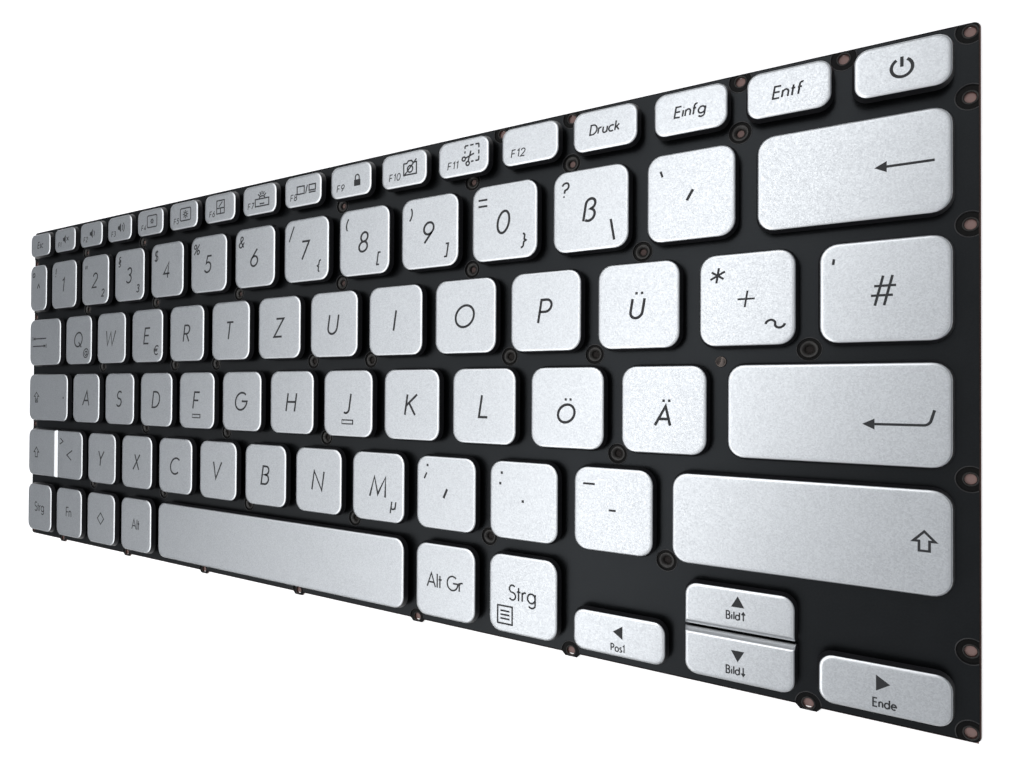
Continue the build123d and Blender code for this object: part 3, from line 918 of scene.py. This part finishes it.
# Words and signs of each key as (text, height, x, y) from the middle of the cap
upper_corner, lower_corner = (-5.1, 4.4), (4.6, -4.4)
legends = {n: [(n.upper(), 4.6, 0, 0)] for n in "qwertzuiopasdfghjklyxcvbnm"}
legends |= {f"digit_{d}": [(d, 4.5, -0.1, -0.1)] for d in "1234567890"}
legends |= {
    "u_umlaut": [("Ü", 4.8, 0, 0)], "o_umlaut": [("Ö", 4.7, 0, -0.6)], "a_umlaut": [("Ä", 4.7, 0, -0.6)]
}
upper_signs = {"1": "!", "2": '"', "3": "§", "4": "$", "5": "%", "6": "&", "7": "/", "8": "(", "9": ")"}
for digit, sign in upper_signs.items():
    legends[f"digit_{digit}"].append((sign, 3.8 if sign == "/" else 2.8, *upper_corner))
legends["digit_0"].append(("=", 2.2, *upper_corner))
for key, sign, tall in [
    ("digit_2", "²", 2.2), ("digit_3", "³", 2.2), ("digit_7", "{", 2.8), ("digit_8", "[", 2.8),
    ("digit_9", "]", 2.8), ("digit_0", "}", 2.8), ("q", "@", 2.8), ("e", "€", 2.6), ("m", "µ", 2.6)
]:
    legends[key].append((sign, tall, *lower_corner))
legends |= {
    "caret": [("^", 1.8, 0, 0.6), ("°", 1.3, -3.1, 4.6)],
    "eszett": [("ß", 4.2, -0.1, -0.1), ("?", 2.8, *upper_corner), ("\\", 4.0, *lower_corner)],
    "acute": [("´", 1.85, 0, 0), ("`", 1.1, *upper_corner)],
    "plus": [("+", 2.8, 0, 0), ("*", 2.6, -4.7, 4.3), ("~", 3.0, *lower_corner)],
    "hash": [("#", 4.6, 0, 0), ("'", 1.8, -6.9, 5.0)],
    "less_than": [("<", 3.6, 0, 0), (">", 2.2, *upper_corner)],
    "comma": [(",", 2.0, 0, 0), (";", 2.7, *upper_corner)],
    "period": [(".", 0.55, 0, 0), (":", 2.2, *upper_corner)],
    "minus": [("-", 1.4, 0, 0), ("-", 2.4, -4.7, 4.7)],
    "backspace": [("long_left", 1.0, 7.45, 0)],
    "enter": [("turned_left", 1.0, 9.0, -0.4)],
    "tab": [("to_and_fro", 1.0, -3.6, 0)],
    "caps_lock": [("shift_lock", 3.4, -7.6, 0), (".", 0.6, 10.0, 0)],
    "left_shift": [("shift", 3.4, -4.0, 0)],
    "right_shift": [("shift", 2.9, 17.2, 0.2)],
    "left_control": [("Strg", 3.0, 0, 0.2)],
    "function": [("Fn", 3.0, 0, 0.2)],
    "system": [("plain_diamond", 3.6, 0, 0)],
    "left_alt": [("Alt", 3.0, 0, 0.2)],
    "alt_graph": [("Alt Gr", 3.0, 0, 0)],
    "right_control": [("Strg", 3.0, 0, 0.4), ("menu", 3.6, -4.0, -4.4)],
    "arrow_left": [("arrow_left", 1.9, 0, 0.7), ("Pos1", 1.3, 0, -2.2)],
    "arrow_right": [("arrow_right", 1.9, 0, 0.9), ("Ende", 1.3, 0.2, -2.1)],
    "arrow_up": [("arrow_up", 1.9, 0, 1.5), ("Bild", 1.3, -0.78, -0.9), ("thin_up", 1.4, 0.92, -0.9)],
    "arrow_down": [("arrow_down", 1.9, 0, 0.4), ("Bild", 1.3, -0.78, -2.0), ("thin_down", 1.4, 0.92, -2.0)],
    "esc": [("Esc", 2.0, 0, 0)],
    "print": [("Druck", 1.8, 0, 0.1)],
    "insert": [("Einfg", 1.85, 0, 0.1)],
    "delete": [("Entf", 1.95, 0, 0)],
    "power": [("power", 2.8, 0, 0)],
}
function_signs = [
    "sound_off", "sound_low", "sound_high", "light_low", "light_high", "pointing_pad", "lit_key",
    "two_screens", "padlock", "no_camera", "cut_out"
]
legends |= {f"f{i}": [(f"F{i}", 1.5, -3.2 if i < 10 else -2.6, -1.4)] for i in range(1, 13)}
function_sign_x = [0.6, 0.6, 0.9, 1.0, 1.0, 0.4, 1.1, 1.3, 2.1, 1.8, 1.9]
for i, (sign, x) in enumerate(zip(function_signs, function_sign_x), 1):
    legends[f"f{i}"].append((sign, 1.0, x, 0.2))
# Painted shade round each homing rib, drawn in ink with the legends
for name in ("f", "j"):
    legends[name].append(("rib_edge", 1.0, 0, -rib_drop))
italic = 0.165
broad_pen, fine_pen, tall_sign = 0.52, 0.40, 4.1
label_words = {f"F{i}" for i in range(1, 13)}
small_words = {"Pos1", "Ende", "Bild", "thin_up", "thin_down"}
row_words = {"Esc", "Druck", "Einfg", "Entf"}
word_gap = 0.40
# Space after a letter and width of the letters, as shares of the height and of the common width
common_setting = (0.13, 0.92)
word_settings = [(label_words, (0.32, 1.05)), (small_words, (0.25, 0.80)), (row_words, (0.20, 1.0))]
# Width of the pen in millimetres for each sign that has its own; the others go by their height
pens = {
    ",": 0.56, "´": 0.52, "power": 0.46, "*": 0.38, "#": 0.38, "+": 0.33, "\\": 0.48, "=": 0.42,
    "plain_diamond": 0.36
}
pens |= {
    sign: 0.36 for sign in ("shift", "shift_lock", "menu", "Strg", "Fn", "Alt", "Alt Gr", "Entf")
} | {sign: 0.35 for sign in function_signs}
pens |= {
    word: 0.23 for word in small_words
} | {word: 0.24 for word in label_words} | {word: 0.31 for word in row_words}
upright_signs = {
    "power", "menu", "arrow_up", "arrow_down", "arrow_left", "arrow_right", "thin_up", "thin_down", "shift",
    "shift_lock", "plain_diamond", "rib_edge", "long_left", "turned_left", "to_and_fro", *function_signs
}
upright_signs |= {"Strg", "Fn", "Alt", "Alt Gr", "=", *small_words}


def drawn(text, tall, x, y):
    """Strokes of a sign or a word in millimetres: one sign is centred on its own box, a word on its capitals.

    Slant moves each point to the side by a share of its height.
    A sign with no pen of its own gets one by its height.
    """
    parts, at = [], 0.0
    letter_gap, squeeze = next((pair for words, pair in word_settings if text in words), common_setting)
    for strokes in [signs[text]] if text in signs else [signs.get(c) for c in text]:
        if strokes is None:
            at += word_gap
            continue
        strokes = [s if isinstance(s, tuple) else (s, None, None) for s in strokes]
        parts += [(s + (at, 0), a, b) for s, a, b in strokes]
        at += max(s[:, 0].max() for s, _, _ in strokes) + letter_gap
    pen = pens.get(text, broad_pen if tall >= tall_sign else fine_pen)
    lean = np.array([[1 if text in signs else squeeze, 0], [0 if text in upright_signs else italic, 1]])
    parts = [(s @ lean * tall, a, b) for s, a, b in parts]
    low = np.min([s.min(0) for s, _, _ in parts], 0)
    high = np.max([s.max(0) for s, _, _ in parts], 0)
    move = np.array([x, y]) - ((low + high) / 2 if text in signs else ((low[0] + high[0]) / 2, tall / 2))
    return [
        (s + move, np.full(len(s), pen) if a is None else np.linspace(a, b, len(s)) * tall) for s, a,
        b in parts
    ]


ink_lift, ink_step = 0.004, 0.0004


def legend_mesh(name):
    """All strokes of one key as flat strips: each point of a stroke moves half the pen to either side of it."""
    middle = key_middle(name)
    strips = []
    for mark in legends[name]:
        for path, width in drawn(*mark):
            side = mitred(path) * width[:, None] / 2
            edges = np.stack([path + side, path - side], 1).reshape(-1, 2) + middle
            lift = cap_top + ink_lift + ink_step * len(strips)
            strips.append(
                (np.column_stack([edges, np.full(len(edges), lift)]), grid_quads(1, len(path), 2, False))
            )
    return joined_meshes(strips)


for name in legends:
    body = f"key_{name}" if name in single_names else "base"
    add_piece(f"legend_{name}", *legend_mesh(name), ink_finish, body, "key_plastic")

# Studio
# A plain pale floor with painted shade where the keyboard covers it, a grey surround and three soft panels
# overhead.
# The camera stands close over the right-hand end and looks along the keys to the left.
floor_finish, tree, shader = new_finish("pale_floor")
floor_grain = add_grain(tree, 60.0)
floor_place = shader_node(tree, "ShaderNodeTexCoord", {})
floor_split = shader_node(tree, "ShaderNodeSeparateXYZ", {0: floor_place.outputs["Object"]})
covered_half = (0.1386, 0.0535)
deep_half = (0.1345, 0.0500)


def within(half):
    """1 where the floor lies within half a length and half a width of the middle, and 0 elsewhere."""
    reach = [reckoned(tree, "ABSOLUTE", floor_split.outputs[axis]) for axis in (0, 1)]
    return reckoned(tree, "MULTIPLY", *(reckoned(tree, "LESS_THAN", r, h) for r, h in zip(reach, half)))


# Painted shade on the floor under the keyboard, seen through the rivet holes: near black under the middle and
# front, with a painted pinkish-brown glow under the rear holes and round the edges
covered, well_under = within(covered_half), within(deep_half)
to_rear = ramp(tree, floor_split.outputs[1], 0.020, 0.032)
painted_hole_shade = colour_between(tree, to_rear, (0.016, 0.012, 0.011), (0.19, 0.125, 0.115))
painted_floor_shade = colour_between(tree, well_under, (0.28, 0.185, 0.170), painted_hole_shade)
pale = colour_between(tree, floor_grain, (0.86, 0.86, 0.86), (0.90, 0.90, 0.90))
tree.links.new(colour_between(tree, covered, pale, painted_floor_shade), shader.inputs["Base Color"])
shader.inputs["Roughness"].default_value = 0.9
shader.inputs["Emission Color"].default_value = (1.0, 1.0, 1.0, 1.0)
seen = shader_node(tree, "ShaderNodeLightPath", {})
direct = reckoned(tree, "MAXIMUM", seen.outputs["Is Camera Ray"], seen.outputs["Is Glossy Ray"])
direct = reckoned(tree, "MAXIMUM", direct, seen.outputs["Is Transmission Ray"])
uncovered = reckoned(tree, "SUBTRACT", direct, covered)
tree.links.new(between(tree, uncovered, 0.0, 0.5), shader.inputs["Emission Strength"])
floor_mesh = bpy.data.meshes.new("floor")
floor_half, floor_level = 3.0, -0.00002
floor_corners = [
    (x * floor_half, y * floor_half, floor_level) for x, y in ((-1, -1), (1, -1), (1, 1), (-1, 1))
]
floor_mesh.from_pydata(floor_corners, [], [(0, 1, 2, 3)])
floor_mesh.materials.append(floor_finish)
floor = bpy.data.objects.new("floor", floor_mesh)
bpy.context.scene.collection.objects.link(floor)

world = bpy.data.worlds.new("surround")
world.use_nodes = True
world.node_tree.nodes["Background"].inputs["Color"].default_value = (0.078, 0.086, 0.098, 1.0)
bpy.context.scene.world = world

panels = [
    ("wide_panel", (-0.033, 0.0, 0.82), (1.435, 3.20), 0.0, 6.9),
    ("middle_panel", (-0.56, 0.0, 0.81), (1.08, 2.20), -20.0, 5.9),
    ("bright_panel", (-0.13, 0.0, 0.80), (0.30, 1.40), -20.0, 1.3),
]
for name, place, size, turn, power in panels:
    panel = bpy.data.lights.new(name, "AREA")
    panel.shape = "RECTANGLE"
    panel.size, panel.size_y = size
    panel.energy = power
    hung = bpy.data.objects.new(name, panel)
    hung.location = place
    hung.rotation_euler.z = math.radians(turn)
    bpy.context.scene.collection.objects.link(hung)

camera_data = bpy.data.cameras.new("camera")
camera_data.sensor_width = 36.0
camera_data.lens = 22.797457
camera_data.clip_start = 0.005
camera = bpy.data.objects.new("camera", camera_data)
camera.matrix_world = Matrix((
    (0.869608, -0.000190, 0.493743, 0.125833),
    (0.005128, 0.999949, -0.008647, -0.001310),
    (-0.493717, 0.010051, 0.869565, 0.118339),
    (0, 0, 0, 1),
))
bpy.context.scene.collection.objects.link(camera)
bpy.context.scene.camera = camera
bpy.context.scene.view_settings.view_transform = "Standard"
